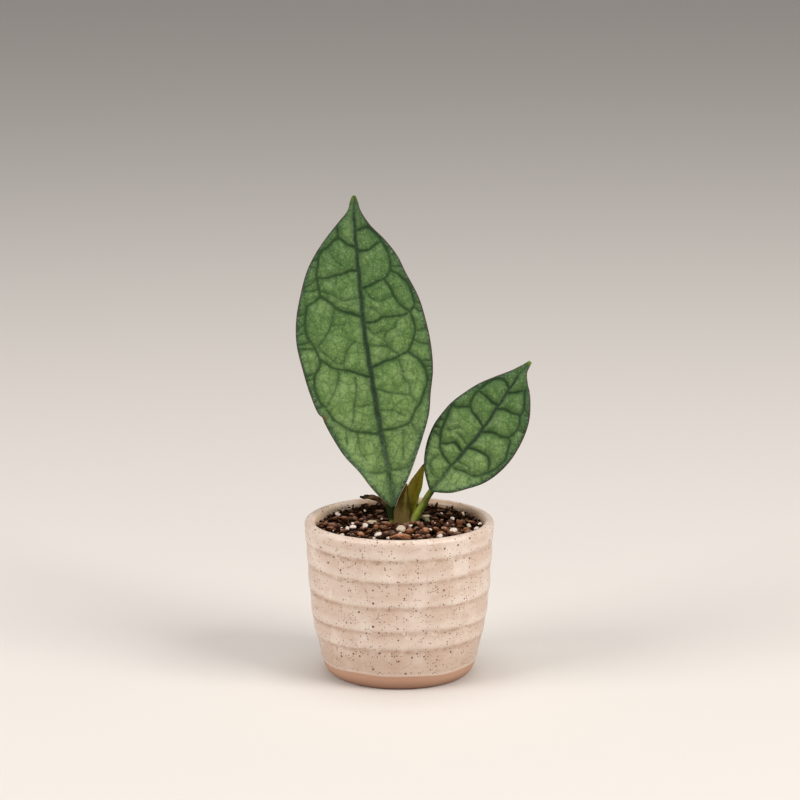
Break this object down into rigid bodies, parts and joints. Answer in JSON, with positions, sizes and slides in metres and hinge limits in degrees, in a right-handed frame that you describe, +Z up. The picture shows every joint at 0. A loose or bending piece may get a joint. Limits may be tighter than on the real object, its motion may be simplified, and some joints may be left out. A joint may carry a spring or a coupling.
{
  "type": "potted hoya plant",
  "caption": "Young hoya with broad net-veined leaves, planted in bark mix in a ringed, speckled stoneware pot that stands on a flat base.",
  "frame": {"origin": "centre of the pot's flat base, on the surface that the pot stands on", "axes": "+Z up, along the pot's axis; the leaves face -Y; +X to the right as seen from -Y, towards the small leaf"},
  "size_m": [0.1105, 0.0896, 0.2244],
  "materials": {
    "stoneware": "satin cream glaze with brown iron speckles, bare clay foot",
    "bark_mix": "matt bark chips, peat and pumice grains",
    "stem_skin": "matt green-brown stem and roots",
    "leaf_blade": "waxy green with a dark net of veins",
    "young_leaf": "satin bronze-olive",
    "dry_leaf": "matt, dry and brown"
  },
  "bodies": {
    "root": {"pot": "stoneware", "potting_mix": "bark_mix", "stem": "stem_skin", "large_leaf": "leaf_blade", "small_leaf": "leaf_blade", "young_leaf_short": "young_leaf", "young_leaf_tall": "young_leaf", "dry_leaf": "dry_leaf"}
  },
  "joints": []
}
